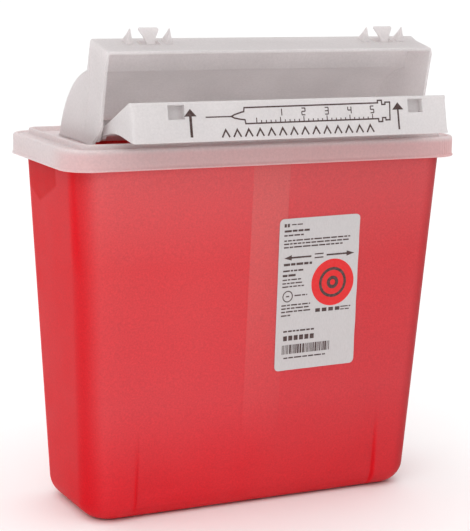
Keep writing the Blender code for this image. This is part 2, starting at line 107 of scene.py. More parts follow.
# Hood
HOOD_HALF_X = HOOD_TOP_CORNER.x
HOOD_WALL = 2.0 * MM
HOOD_FOOT = DECK_LEVEL + 0.3 * MM
BARREL_CENTRE = (-33.0 * MM, -13.4 * MM)
BARREL_RADIUS = 59.2 * MM
HOOD_FRONT_TOP = (-53.3 * MM, 57.5 * MM)
HOOD_BACK_TOP_Y = -27.2 * MM
HOOD_BACK_FOOT_Y = -21.4 * MM
HOOD_BACK_RISE = 0.8 * MM
HOOD_END_RADIUS = 2.6 * MM
HOOD_SHOULDER_RADIUS = 1.5 * MM
HOOD_EDGE = 0.33 * MM
TOP_SLOPE = math.atan(0.203)
MOUTH_EDGE = ((-52.9, 53.0), (-50.0, 40.5), (-47.4, 28.0), (-45.6, 18.0), (-44.6, 10.8), (-42.6, 8.2),
              (-39.0, 5.6), (-34.0, 2.4))     # Y and height above the lip, in mm
MOUTH_FOOT_Y = -32.4 * MM
SEAM_LINE = ((-27.8, 50.7), (-26.0, 35.0), (-24.0, 25.5), (-22.0, 17.0), (-21.6, 9.5))
LEG_X = HOOD_HALF_X - 1.0 * MM
LEG_Y = (-20.0 * MM, 8.0 * MM)
LEG_SIZE = (1.4 * MM, 8.0 * MM, 6.2 * MM)
LEG_ROOT = 2.0 * MM

# Tray
PIVOT_Y = JOINTS["tray_lift"]["pos_m"][1]
PIVOT_Z = JOINTS["tray_lift"]["pos_m"][2]
TRAY_HALF_X = 107.5 * MM
TRAY_WALL = 1.9 * MM
TRAY_EDGE = 0.35 * MM
PANEL_THICK = 2.2 * MM
PANEL_FOOT = (TRAY_LOW.y, 6.4 * MM)
PANEL_LEAN = math.atan2(5.4, 23.2)
PLATE_BACK_Y = TRAY_HIGH.y
FLOOR_UNDERSIDE = ((-30.0, 6.2), (-36.0, 5.9), (-43.6, 7.4), (-50.0, 8.9), (-56.7, 9.4), (-64.0, 9.0))
PIN_RADIUS = 3.0 * MM
PIN_PLAY = 0.3 * MM
PIN_REACH = TRAY_HIGH.x
HUB_RADIUS = 5.0 * MM
BOSS_RADIUS = 6.0 * MM
BOSS_INNER_X = 109.0 * MM
POCKET_X = (-79.0 * MM, 84.3 * MM)
POCKET_SIZE = (10.6 * MM, 4.9 * MM, 8.5 * MM)
POCKET_WALL = 1.2 * MM
POCKET_HEIGHT = 23.8 * MM

# Lock plugs and their guards
PLUG_X = {"lock_plug_left": -78.0 * MM, "lock_plug_right": 85.3 * MM}
PLUG_BODY = {"lock_plug_left": "lock_left", "lock_plug_right": "lock_right"}
PLUG_FOOT_Y = -39.3 * MM
PLUG_HEIGHT = 8.7 * MM
PLUG_FOOT_WIDTH = 5.3 * MM
PLUG_HEAD_WIDTH = 13.4 * MM
PLUG_LEAN = 5.6 * MM
SLOT_SIZE = (14.2 * MM, 7.9 * MM, 8.0 * MM)
GUARD_OFFSETS = (-13.0 * MM, 12.8 * MM)
GUARD_Y = -36.4 * MM
GUARD_HEIGHT = 9.0 * MM
GUARD_EDGE = 0.35 * MM

# Label
LABEL_SIZE = (LABEL_HIGH.x - LABEL_LOW.x, 99.4 * MM)
LABEL_MIDDLE = ((LABEL_LOW.x + LABEL_HIGH.x) / 2, (LABEL_LOW.z + LABEL_HIGH.z) / 2)
LABEL_CORNER = 3.0 * MM
LABEL_TURN = math.radians(0.8)      # it was stuck on a little askew
FILM_THICK = 0.15 * MM
INK_THICK = 0.04 * MM


# ---- meshes ----

def smooth_step(value, start, end):
    share = min(1.0, max(0.0, (value - start) / (end - start)))
    return share * share * (3 - 2 * share)


def arc(centre, radius, start_deg, end_deg, steps):
    points = []
    for step in range(steps + 1):
        angle = math.radians(start_deg + (end_deg - start_deg) * step / steps)
        points.append((centre[0] + radius * math.cos(angle), centre[1] + radius * math.sin(angle)))
    return points


def quarter_turn(steps):
    """(1 - cosine, 1 - sine) at even steps round a quarter turn."""
    angles = [math.pi / 2 * step / steps for step in range(steps + 1)]
    return [(1 - math.cos(angle), 1 - math.sin(angle)) for angle in angles]


def finish_mesh(name, shape, material, merge=1e-7, sheet=False):
    """Object from a bmesh, smooth but for its sharp edges. A sheet is turned to the front."""
    bmesh.ops.remove_doubles(shape, verts=shape.verts, dist=merge)
    if sheet:
        for face in shape.faces:
            face.normal_update()
            if face.normal.y > 0:
                face.normal_flip()
    else:
        bmesh.ops.recalc_face_normals(shape, faces=shape.faces)
    mesh = bpy.data.meshes.new(name)
    shape.to_mesh(mesh)
    shape.free()
    piece = bpy.data.objects.new(name, mesh)
    bpy.context.scene.collection.objects.link(piece)
    mesh.materials.append(material)
    shade(mesh)
    return piece


def shade(mesh):
    mesh.shade_smooth()
    mesh.set_sharp_from_angle(angle=SHARP_ANGLE)


def triangulate(piece):
    """Split the faces with many sides, so that the next cuts meet only plane ones."""
    shape = bmesh.new()
    shape.from_mesh(piece.data)
    bmesh.ops.triangulate(shape, faces=[face for face in shape.faces if len(face.verts) > 4])
    shape.to_mesh(piece.data)
    shape.free()


def add_bevel(piece, width, segments=2, angle=50):
    bevel = piece.modifiers.new("edges", "BEVEL")
    bevel.width = width
    bevel.segments = segments
    bevel.limit_method = "ANGLE"
    bevel.angle_limit = math.radians(angle)
    bevel.use_clamp_overlap = True


def add_solidify(piece, thickness):
    solid = piece.modifiers.new("wall", "SOLIDIFY")
    solid.thickness = thickness
    solid.offset = -1.0
    solid.use_even_offset = True


def combine(piece, tool, operation):
    modifier = piece.modifiers.new(tool.name, "BOOLEAN")
    modifier.operation = operation
    modifier.object = tool


def add_tool(piece, tools, shape, operation, bevel=0.0):
    """Join a solid to a piece, or cut it out; it is used up when the piece is frozen."""
    tool = finish_mesh("tool", shape, piece.data.materials[0])
    if bevel:
        add_bevel(tool, bevel, 3, 30)
        freeze(tool)
    combine(piece, tool, operation)
    tools.append(tool)


def freeze(piece, tools=()):
    """Apply the modifiers and drop the helper solids that they used."""
    graph = bpy.context.evaluated_depsgraph_get()
    mesh = bpy.data.meshes.new_from_object(piece.evaluated_get(graph))
    piece.modifiers.clear()
    old = piece.data
    piece.data = mesh
    mesh.name = piece.name
    bpy.data.meshes.remove(old)
    shade(mesh)
    for tool in tools:
        bpy.data.objects.remove(tool, do_unlink=True)


def even_normals(piece):
    """Keep flat faces flat beside their rounded edges."""
    weighted = piece.modifiers.new("normals", "WEIGHTED_NORMAL")
    weighted.keep_sharp = True


def stitch(shape, loops, closed=False, capped=True):
    """Quads between neighbouring vertex loops of equal length."""
    pairs = list(zip(loops, loops[1:]))
    if closed:
        pairs.append((loops[-1], loops[0]))
    for lower, upper in pairs:
        for index in range(len(lower)):
            after = (index + 1) % len(lower)
            shape.faces.new((lower[index], lower[after], upper[after], upper[index]))
    if capped and not closed:
        shape.faces.new(loops[0])
        shape.faces.new(loops[-1])


def strip(shape, rows, closed=False):
    """Quads between neighbouring open rows of vertices."""
    pairs = list(zip(rows, rows[1:]))
    if closed:
        pairs.append((rows[-1], rows[0]))
    for before, after in pairs:
        for index in range(len(before) - 1):
            shape.faces.new((before[index], after[index], after[index + 1], before[index + 1]))


def loft(rings, closed=False):
    """Solid through rings of equal length, each a (points, z) pair."""
    shape = bmesh.new()
    loops = [[shape.verts.new((x, y, z)) for x, y in points] for points, z in rings]
    stitch(shape, loops, closed)
    return shape


def rounded_outline(half_x, half_y, radius, steps, dent=None, front=()):
    """Rounded rectangle, anticlockwise from the front's right end.

    dent(corner, share) lowers a corner's surface, and front holds (x, inset) points of the front side.
    """
    points = []
    for corner, (sign_x, sign_y) in enumerate(((1, -1), (1, 1), (-1, 1), (-1, -1))):
        centre = (sign_x * (half_x - radius), sign_y * (half_y - radius))
        for step in range(steps + 1):
            share = step / steps
            angle = math.radians(90 * (corner - 1 + share))
            reach = radius - (dent(corner, share) if dent else 0.0)
            points.append((centre[0] + reach * math.cos(angle), centre[1] + reach * math.sin(angle)))
    points += [(x, -half_y + inset) for x, inset in front]
    return points


def prism(profile, half_x):
    shape = bmesh.new()
    stitch(shape, [[shape.verts.new((side * half_x, y, z)) for y, z in profile] for side in (-1, 1)])
    return shape


def inset_profile(profile, amounts):
    """Move each profile point inwards by its own amount, square to the two edges that meet there."""
    count = len(profile)
    area = sum(profile[i - 1][0] * profile[i][1] - profile[i][0] * profile[i - 1][1] for i in range(count))
    turn = 1 if area > 0 else -1
    moved = []
    for index in range(count):
        here = Vector(profile[index])
        before = (here - Vector(profile[index - 1])).normalized()
        after = (Vector(profile[(index + 1) % count]) - here).normalized()
        normals = [Vector((-edge.y, edge.x)) * turn for edge in (before, after)]
        shift = (normals[0] + normals[1]) / (1 + normals[0].dot(normals[1]))
        moved.append(tuple(here + shift * amounts[index]))
    return moved


def soft_sections(profile, radii, half_x, steps):
    """Vertex positions of one end of a soft prism, from the middle outwards."""
    sections = []
    for inward, back in quarter_turn(steps):
        points = inset_profile(profile, [radius * inward for radius in radii])
        reach = [half_x - radius * back for radius in radii]
        sections.append([(x, y, z) for x, (y, z) in zip(reach, points)])
    return sections


def soft_prism(profile, radii, half_x, steps):
    """Prism whose end walls round into its skin, with a radius for each profile point."""
    shape = bmesh.new()
    sections = soft_sections(profile, radii, half_x, steps)
    right = [[shape.verts.new(point) for point in section] for section in sections]
    left = [[shape.verts.new((-x, y, z)) for x, y, z in section] for section in sections]
    stitch(shape, left[::-1] + right)
    return shape


def block(size, matrix):
    shape = bmesh.new()
    bmesh.ops.create_cube(shape, size=1.0, matrix=matrix @ Matrix.Diagonal((*size, 1.0)))
    return shape


def rod(radius, x_start, x_end, y, z):
    shape = bmesh.new()
    place = Matrix.Translation(((x_start + x_end) / 2, y, z)) @ Matrix.Rotation(math.pi / 2, 4, "Y")
    bmesh.ops.create_cone(shape, cap_ends=True, segments=48, radius1=radius, radius2=radius,
                          depth=abs(x_end - x_start), matrix=place)
    return shape


def lifted(profile):
    return [(y, LIP_Z + height) for y, height in profile]


# ---- materials ----

def node(tree, kind, inputs=(), **settings):
    made = tree.nodes.new("ShaderNode" + kind)
    for name, value in settings.items():
        setattr(made, name, value)
    for key, value in dict(inputs).items():
        if isinstance(value, bpy.types.NodeSocket):
            tree.links.new(value, made.inputs[key])
        else:
            made.inputs[key].default_value = value
    return made


def math_node(tree, operation, first, second=0.0, third=0.0):
    return node(tree, "Math", {0: first, 1: second, 2: third}, operation=operation).outputs[0]


def product(tree, first, *others):
    for other in others:
        first = math_node(tree, "MULTIPLY", first, other)
    return first


def axes_of(tree, vector):
    return node(tree, "SeparateXYZ", {0: vector}).outputs


def ramp_range(tree, value, start, end):
    """0 at start and 1 at end, eased at both."""
    made = node(tree, "MapRange", {"Value": value, "From Min": start, "From Max": end},
                interpolation_type="SMOOTHSTEP")
    return made.outputs["Result"]


def window(tree, value, start, full, full_end, end):
    """1 between full and full_end, eased to 0 at start and at end."""
    return product(tree, ramp_range(tree, value, start, full), ramp_range(tree, value, end, full_end))


def mix_colour(tree, factor, first, second, blend="MIX"):
    made = node(tree, "Mix", {"Factor": factor}, data_type="RGBA", blend_type=blend)
    for key, value in ((6, first), (7, second)):
        if isinstance(value, bpy.types.NodeSocket):
            tree.links.new(value, made.inputs[key])
        else:
            made.inputs[key].default_value = (*value, 1.0)
    return made.outputs[2]


def tinted(tree, colour, *tints):
    """Lay tints over a colour, each a (share, strength, tint)."""
    for share, strength, tint in tints:
        colour = mix_colour(tree, math_node(tree, "MULTIPLY", share, strength), colour, tint)
    return colour


def noise(tree, coords, scale, detail=2.0, roughness=0.5):
    values = {"Vector": coords, "Scale": scale, "Detail": detail, "Roughness": roughness}
    return node(tree, "TexNoise", values).outputs["Fac"]


def colour_ramp(tree, factor, stops):
    made = node(tree, "ValToRGB", {"Fac": factor})
    elements = made.color_ramp.elements
    while len(elements) < len(stops):
        elements.new(0.5)
    for element, (place, colour) in zip(elements, stops):
        element.position = place
        element.color = (*colour, 1.0)
    return made.outputs["Color"]


def new_plastic(name, specular, subsurface=0.0, radius=(1.0, 1.0, 1.0)):
    """Principled shader of a plastic; the values that hold all over are set here."""
    material = bpy.data.materials.new(name)
    material.use_nodes = True
    tree = material.node_tree
    shader = tree.nodes["Principled BSDF"]
    shader.inputs["Specular IOR Level"].default_value = specular
    shader.inputs["Subsurface Weight"].default_value = subsurface
    shader.inputs["Subsurface Radius"].default_value = radius
    shader.inputs["Subsurface Scale"].default_value = 4.0 * MM
    return material, tree, shader, node(tree, "TexCoord").outputs["Object"]


def finish_surface(tree, shader, place, colour, roughness, grain_scale, grain_height, spread=0.05):
    """Base colour, roughness that varies in soft patches, and a moulded grain with faint flow waviness."""
    tree.links.new(colour, shader.inputs["Base Color"])
    patches = noise(tree, place, 55.0, 3.0)
    rough = node(tree, "MapRange", {"Value": patches, "From Min": 0.3, "From Max": 0.7,
                                    "To Min": roughness - spread, "To Max": roughness + spread})
    tree.links.new(rough.outputs["Result"], shader.inputs["Roughness"])
    grain = noise(tree, place, grain_scale, 2.0, 0.6)
    waves = noise(tree, place, 38.0, 1.0)
    height = math_node(tree, "MULTIPLY_ADD", waves, 4.0, grain)
    bump = node(tree, "Bump", {"Height": height, "Strength": 1.0, "Distance": grain_height})
    tree.links.new(bump.outputs["Normal"], shader.inputs["Normal"])


def speckled(tree, place, colour, scale, amount):
    """Darken and lighten a colour in fine specks."""
    specks = noise(tree, place, scale, 3.0, 0.65)
    level = node(tree, "MapRange", {"Value": specks, "From Min": 0.25, "From Max": 0.75,
                                    "To Min": 1.0 - amount, "To Max": 1.0 + amount}).outputs["Result"]
    grey = node(tree, "CombineColor", {0: level, 1: level, 2: level}).outputs[0]
    return mix_colour(tree, 1.0, colour, grey, "MULTIPLY")


def let_through(tree, shader, colour, passing):
    """Share of the light that goes through the plastic, scattered."""
    through = node(tree, "BsdfTranslucent", {"Color": colour})
    both = node(tree, "MixShader", {0: passing, 1: shader.outputs[0], 2: through.outputs[0]})
    tree.links.new(both.outputs[0], tree.nodes["Material Output"].inputs["Surface"])


def bin_material():
    """Frosted red with painted light and shade: deeper towards the foot, paler high up as painted light
    through the wall and a painted sheen, with painted shade to the right and on the sides.
    """
    material, tree, shader, place = new_plastic("bin_red", 0.05, subsurface=0.25, radius=(1.0, 0.12, 0.1))
    x, y, z = axes_of(tree, place)
    # painted light: the height ramp runs from deep red at the foot to pale high up, standing in for light
    # through the wall and a pale sheen
    colour = colour_ramp(tree, math_node(tree, "DIVIDE", z, FLANGE_TOP), [
        (0.0, (0.89, 0.034, 0.048)),
        (0.12, (0.90, 0.048, 0.062)),
        (0.32, (0.89, 0.094, 0.110)),
        (0.7, (0.89, 0.092, 0.104)),
        (0.95, (0.91, 0.160, 0.172)),
    ])
    front = ramp_range(tree, y, 0.0, -20.0 * MM)
    band = window(tree, x, BAND_X[0] - 0.5 * MM, BAND_X[0], BAND_X[1], BAND_X[1] + 0.5 * MM)
    band = product(tree, band, front, ramp_range(tree, z, 30.0 * MM, 200.0 * MM))
    clouds = ramp_range(tree, noise(tree, place, 14.0, 2.0), 0.35, 0.7)
    # painted shade: the bin grows darker towards the right, away from the key light
    rightward_shade = ramp_range(tree, x, -60.0 * MM, 130.0 * MM)

    # painted highlight: saturated edge-lit lines along the steps of the toe recess
    toe_edges = [TOE_HALF_WIDTH + offset * MM for offset in (-1.2, 0.5, 1.0, 3.4)]
    toe_edge_highlight = window(tree, math_node(tree, "ABSOLUTE", x), *toe_edges)
    toe_edge_highlight = product(tree, toe_edge_highlight, ramp_range(tree, z, TOE_TOP, 0.3 * TOE_TOP), front)

    narrowing = math_node(tree, "MULTIPLY", z, (BIN_TOP_HALF[0] - BIN_BASE_HALF[0]) / BIN_TAPER_HEIGHT)
    leftward = math_node(tree, "SUBTRACT", math_node(tree, "MULTIPLY", x, -1.0), narrowing)
    # painted shade: the left wall is painted a deeper red and the right edge darker, where less light and
    # sheen fall
    shaded_left_wall = ramp_range(tree, leftward, 104.0 * MM, 115.0 * MM)
    shaded_right_edge = ramp_range(tree, math_node(tree, "SUBTRACT", x, narrowing), 98.0 * MM, 112.0 * MM)

    # painted reflection: a dark V-shaped patch at the top of the left wall
    from_reflection_middle = math_node(tree, "ABSOLUTE", math_node(tree, "SUBTRACT", y, DARK_REFLECTION_Y))
    reflection_edge_height = math_node(tree, "SUBTRACT", z, math_node(tree, "MULTIPLY", from_reflection_middle, DARK_REFLECTION_SLOPE))
    above_reflection_edge = ramp_range(tree, reflection_edge_height, DARK_REFLECTION_Z - 3.0 * MM, DARK_REFLECTION_Z)
    dark_reflection = product(tree, shaded_left_wall, above_reflection_edge, ramp_range(tree, y, -13.0 * MM, -9.0 * MM))
    # painted reflection: a dark saturated line down the left wall near its front corner
    corner_dark_reflection = window(tree, y, -43.0 * MM, -38.0 * MM, -34.0 * MM, -29.0 * MM)
    corner_dark_reflection = product(tree, corner_dark_reflection, ramp_range(tree, z, 150.0 * MM, 180.0 * MM), shaded_left_wall)

    # band, clouds and specks are the plastic's own tone; every other tint here is painted light or shade
    colour = tinted(
        tree, colour,
        (band, 0.5, (0.86, 0.24, 0.23)),
        (clouds, 0.12, (0.90, 0.15, 0.15)),
        (rightward_shade, 0.18, (0.42, 0.03, 0.04)),
        (toe_edge_highlight, 0.8, (0.92, 0.010, 0.022)),
        (shaded_left_wall, 0.75, (0.84, 0.006, 0.016)),
        (dark_reflection, 0.9, (0.78, 0.0, 0.006)),
        (corner_dark_reflection, 0.8, (0.92, 0.006, 0.016)),
        (shaded_right_edge, 0.75, (0.52, 0.004, 0.012)),
    )
    colour = speckled(tree, place, colour, scale=900.0, amount=0.10)
    finish_surface(tree, shader, place, colour, roughness=0.36, grain_scale=1500.0, grain_height=0.012 * MM)
    let_through(tree, shader, colour, passing=0.3)
    return material


def lid_material():
    """Natural polypropylene with a painted pink cast, standing in for red light from the bin behind it."""
    material, tree, shader, place = new_plastic("lid_natural", 0.3, subsurface=0.3, radius=(1.0, 0.8, 0.75))
    x, y, z = axes_of(tree, place)
    front = ramp_range(tree, y, -20.0 * MM, -55.0 * MM)
    along = ramp_range(tree, x, -140.0 * MM, 60.0 * MM)
    skirt = ramp_range(tree, z, LIP_Z + 0.5 * MM, LIP_Z - 4.0 * MM)
    # painted light: pink cast on the front skirt, stronger towards the right, standing in for red light from
    # the bin
    pink_glow = product(tree, math_node(tree, "MULTIPLY_ADD", along, 0.15, 0.40), front, skirt)
    pink_glow = math_node(tree, "ADD", pink_glow, 0.12)
    colour = mix_colour(tree, pink_glow, (0.88, 0.83, 0.83), (0.86, 0.45, 0.45))
    colour = speckled(tree, place, colour, scale=700.0, amount=0.06)
    finish_surface(tree, shader, place, colour, roughness=0.38, grain_scale=1300.0, grain_height=0.010 * MM)
    let_through(tree, shader, colour, passing=0.3)
    return material


def natural_material(name, tint, roughness, passing):
    """Milky natural polypropylene; passing is the share of light that it lets through."""
    material, tree, shader, place = new_plastic(name, 0.3, subsurface=0.2, radius=(1.0, 0.95, 0.92))
    upward = axes_of(tree, node(tree, "NewGeometry").outputs["Normal"])["Z"]
    clouds = ramp_range(tree, noise(tree, place, 22.0, 2.0), 0.3, 0.7)
    darker, painted_top_shade = (tuple(value * share for value in tint) for share in (0.94, 0.78))
    colour = mix_colour(tree, clouds, tint, darker)
    # painted shade: faces that look upward are darkened, offsetting the strong overhead light
    colour = tinted(tree, colour, (ramp_range(tree, upward, 0.6, 0.95), 0.8, painted_top_shade))
    colour = speckled(tree, place, colour, scale=700.0, amount=0.05)
    finish_surface(tree, shader, place, colour, roughness, grain_scale=1300.0, grain_height=0.010 * MM)
    let_through(tree, shader, colour, passing)
    return material


def film_material():
    """Label film: paper-white with a faint fibre."""
    material, tree, shader, place = new_plastic("label_film", specular=0.45)
    fibre_place = node(tree, "Mapping", {"Vector": place, "Scale": (1.0, 1.0, 0.25)}).outputs[0]
    fibres = ramp_range(tree, noise(tree, fibre_place, 1800.0, 3.0), 0.3, 0.7)
    colour = mix_colour(tree, fibres, (0.57, 0.54, 0.54), (0.61, 0.58, 0.58))
    finish_surface(tree, shader, place, colour, roughness=0.42,
                   grain_scale=1600.0, grain_height=0.004 * MM, spread=0.06)
    return material


def ink_material(name, colour, worn):
    """Printed ink, thinner where the noise is high."""
    material, tree, shader, place = new_plastic(name, specular=0.4)
    patches = ramp_range(tree, noise(tree, place, 600.0, 3.0), 0.35, 0.8)
    shown = tinted(tree, colour, (patches, worn, (0.55, 0.48, 0.47)))
    finish_surface(tree, shader, place, shown, roughness=0.4, grain_scale=1500.0, grain_height=0.003 * MM)
    return material


def floor_material():
    material, tree, shader, place = new_plastic("studio_floor", specular=0.2)
    colour = mix_colour(tree, noise(tree, place, 3.0, 2.0), (0.96, 0.96, 0.96), (0.98, 0.98, 0.98))
    tree.links.new(colour, shader.inputs["Base Color"])
    shader.inputs["Roughness"].default_value = 0.7
    return material


# ---- bin ----

def bin_half(z):
    share = z / BIN_TAPER_HEIGHT
    return tuple(base + (top - base) * share for base, top in zip(BIN_BASE_HALF, BIN_TOP_HALF))


def front_inset(x, z, band_share):
    """How far the front wall stands back at a point: the toe recess, less the raised band."""
    depth = TOE_DEPTH * max(0.0, 1.0 - z / TOE_TOP) * smooth_step(z, 0.0, TOE_FOOT)
    toe = depth * smooth_step(abs(x), TOE_HALF_WIDTH + TOE_EDGE, TOE_HALF_WIDTH)
    band = smooth_step(x, BAND_X[0] - BAND_EDGE, BAND_X[0])
    band *= smooth_step(x, BAND_X[1] + BAND_EDGE, BAND_X[1])
    return toe - BAND_RISE * band * band_share


def front_stations():
    """X of the points along the front wall, close together where it steps."""
    toe = [TOE_HALF_WIDTH + TOE_EDGE * step / 4 for step in range(5)]
    band = [BAND_X[0] - BAND_EDGE * step / 3 for step in range(4)]
    band += [BAND_X[1] + BAND_EDGE * step / 3 for step in range(4)]
    return sorted([-x for x in toe] + toe + band)


def bin_ring(z, inset=0.0, half=None, band_share=0.0):
    half_x, half_y = half if half else bin_half(z)
    radius = max(BIN_CORNER - inset, BIN_LEAST_CORNER)
    front = [(x, front_inset(x, z, band_share)) for x in front_stations()]
    return rounded_outline(half_x - inset, half_y - inset, radius, 16, front=front), z


def foot_rings(inset):
    """Rounded foot of the bin's outer skin, or of its inner one at the wall's inset, going up."""
    radius = BIN_FILLET - inset
    return [bin_ring(inset + radius * rise, inset + radius * reach) for rise, reach in quarter_turn(12)]


def build_bin(material):
    rings = foot_rings(0.0)
    for z in (22, 30, 38, 46, 54, 60):
        rings.append(bin_ring(z * MM, band_share=smooth_step(z * MM, BIN_FILLET, 40 * MM)))
    for z in (100, 140, 180, 215, 220):
        rings.append(bin_ring(z * MM, band_share=1.0))
    neck_top = FLANGE_TOP - FLANGE_THICK
    edge = 0.5 * MM
    for z, inset, half in (
        (BIN_TAPER_HEIGHT, 0.0, BIN_TOP_HALF), (neck_top - edge, 0.0, BIN_TOP_HALF),
        (neck_top, -edge, BIN_TOP_HALF), (neck_top, edge, FLANGE_HALF), (neck_top + edge, 0.0, FLANGE_HALF),
        (FLANGE_TOP - edge, 0.0, FLANGE_HALF), (FLANGE_TOP, edge, FLANGE_HALF),
        (FLANGE_TOP, BIN_WALL - edge, BIN_TOP_HALF), (FLANGE_TOP - edge, BIN_WALL, BIN_TOP_HALF),
        (BIN_TAPER_HEIGHT, BIN_WALL, BIN_TOP_HALF),
    ):
        rings.append(bin_ring(z, inset, half))
    for z in (140, 60, 45, 30, 20):
        rings.append(bin_ring(z * MM, BIN_WALL))
    rings += reversed(foot_rings(BIN_WALL))
    body = finish_mesh("bin_wall", loft(rings), material)
    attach(body, "container")
    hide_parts("container_body")


# ---- lid frame ----

def rib_dent(height):
    """Grip ribs on every corner but the front left one, slanting a little with the height."""
    fade = smooth_step(height, -RIM_HEIGHT, -RIM_HEIGHT + 2 * MM) * smooth_step(height, -1.6 * MM, -3.6 * MM)

    def dent(corner, share):
        if corner == 3:
            return 0.0
        ends = smooth_step(share, 0.0, 0.06) * smooth_step(share, 1.0, 0.94)
        turns = RIB_COUNT * share + 0.35 * height / RIM_HEIGHT
        return RIB_DEPTH * fade * ends * (0.5 - 0.5 * math.cos(2 * math.pi * turns))

    return dent


def rim_ring(inset_x, inset_y, height, dent=None, corner=None):
    radius = RIM_CORNER - (inset_x + inset_y) / 2 if corner is None else corner
    points = rounded_outline(RIM_HALF[0] - inset_x, RIM_HALF[1] - inset_y, radius, RIB_COUNT * 6, dent)
    return points, LIP_Z + height


def opening_ring(grow, height):
    middle = (OPENING_Y[0] + OPENING_Y[1]) / 2
    half_y = (OPENING_Y[1] - OPENING_Y[0]) / 2
    points = rounded_outline(OPENING_HALF_X + grow, half_y + grow, OPENING_CORNER + grow, RIB_COUNT * 6)
    return [(x, y + middle) for x, y in points], LIP_Z + height


def build_lid(material):
    underside = DECK_LEVEL - DECK_THICK
    seal_foot = underside - SEAL_DEPTH
    seal_x, seal_y = (rim - mouth + SEAL_INSET for rim, mouth in zip(RIM_HALF, BIN_TOP_HALF))
    seal_corner = BIN_CORNER - SEAL_INSET
    soft = 0.3 * MM
    seal = (
        (SEAL_WALL, underside), (SEAL_WALL, seal_foot + soft), (SEAL_WALL - soft, seal_foot),
        (soft, seal_foot), (0.0, seal_foot + soft), (0.0, underside),
    )
    rings = []
    for grow, height in seal:
        rings.append(rim_ring(seal_x + grow, seal_y + grow, height, corner=seal_corner - grow))
    skirt = (
        (SKIRT_WALL, underside), (SKIRT_WALL, -RIM_HEIGHT + soft), (SKIRT_WALL - soft, -RIM_HEIGHT),
        (-RIM_BEAD + soft, -RIM_HEIGHT), (-RIM_BEAD, -RIM_HEIGHT + soft),
        (-RIM_BEAD, -RIM_HEIGHT + 0.9 * MM), (-RIM_BEAD + soft, -RIM_HEIGHT + 1.3 * MM),
    )
    rings += [rim_ring(inset, inset, height) for inset, height in skirt]
    skirt_steps = 9
    for step in range(skirt_steps + 1):
        height = -RIM_HEIGHT + 1.8 * MM + (RIM_HEIGHT - 4.2 * MM) * step / skirt_steps
        rings.append(rim_ring(0.0, 0.0, height, rib_dent(height)))
    lip_radius = 1.8 * MM
    for inward, down in quarter_turn(6)[1:]:
        rings.append(rim_ring(lip_radius * inward, lip_radius * inward, -lip_radius * down))
    channel = (
        (3.0 * MM, 0.0), (3.3 * MM, -0.15 * MM),
        (3.5 * MM, CHANNEL_LEVEL + 0.2 * MM), (3.8 * MM, CHANNEL_LEVEL),
    )
    rings += [rim_ring(inset, inset, height) for inset, height in channel]
    ridge = (
        (-0.5, CHANNEL_LEVEL), (0.0, CHANNEL_LEVEL + 0.4 * MM), (0.4, RIDGE_TOP - 0.5 * MM),
        (0.6, RIDGE_TOP - 0.15 * MM), (0.9, RIDGE_TOP), (1.6, RIDGE_TOP), (1.9, RIDGE_TOP - 0.15 * MM),
        (2.0, RIDGE_TOP - 0.5 * MM), (2.3, DECK_LEVEL + 0.3 * MM), (2.7, DECK_LEVEL),
    )
    for step, height in ridge:
        rings.append(rim_ring(RIDGE_INSET[0] + step * MM, RIDGE_INSET[1] + step * MM, height))
    opening = ((soft, DECK_LEVEL), (0.0, DECK_LEVEL - soft), (0.0, underside + soft), (soft, underside))
    rings += [opening_ring(grow, height) for grow, height in opening]
    lid = finish_mesh("lid_rim", loft(rings, closed=True), material)
    tools = []
    for side in (-1, 1):
        for y in LEG_Y:
            size = (LEG_SIZE[0] + 0.8 * MM, LEG_SIZE[1] + 1.0 * MM, 12 * MM)
            add_tool(lid, tools, block(size, Matrix.Translation((side * LEG_X, y, LIP_Z))), "DIFFERENCE")
    freeze(lid, tools)
    even_normals(lid)
    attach(lid, "container")
    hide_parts("lid_frame")


# ---- hood ----

def top_height(y):
    return HOOD_FRONT_TOP[1] + (y - HOOD_FRONT_TOP[0]) * math.tan(TOP_SLOPE)


def barrel_angle(height, radius):
    return math.degrees(math.asin((height - BARREL_CENTRE[1]) / radius))


def hood_profile():
    """Side view of the hood, from the barrel's foot round to the mouth, and the end radius of each point."""
    crease = math.degrees(math.acos((HOOD_BACK_FOOT_Y - BARREL_CENTRE[0]) / BARREL_RADIUS))
    barrel = arc(BARREL_CENTRE, BARREL_RADIUS, barrel_angle(HOOD_FOOT, BARREL_RADIUS), crease, 28)
    back_top = top_height(HOOD_BACK_TOP_Y) + HOOD_BACK_RISE
    shoulder = [
        (HOOD_BACK_TOP_Y + 0.9 * MM, back_top - 3.0 * MM),
        (HOOD_BACK_TOP_Y + 0.2 * MM, back_top - 1.0 * MM),
        (HOOD_BACK_TOP_Y - 1.2 * MM, back_top - 0.2 * MM),
    ]
    top = [(-36.0 * MM, top_height(-36.0 * MM)), HOOD_FRONT_TOP]
    mouth = [(y * MM, height * MM) for y, height in MOUTH_EDGE] + [(MOUTH_FOOT_Y, HOOD_FOOT)]
    skin = barrel + shoulder + top
    radii = [0.0] + [HOOD_END_RADIUS] * (len(barrel) - 1) + [HOOD_SHOULDER_RADIUS] * len(shoulder)
    radii += [HOOD_END_RADIUS] * len(top)
    return lifted(skin + mouth), radii + [0.0] * len(mouth)


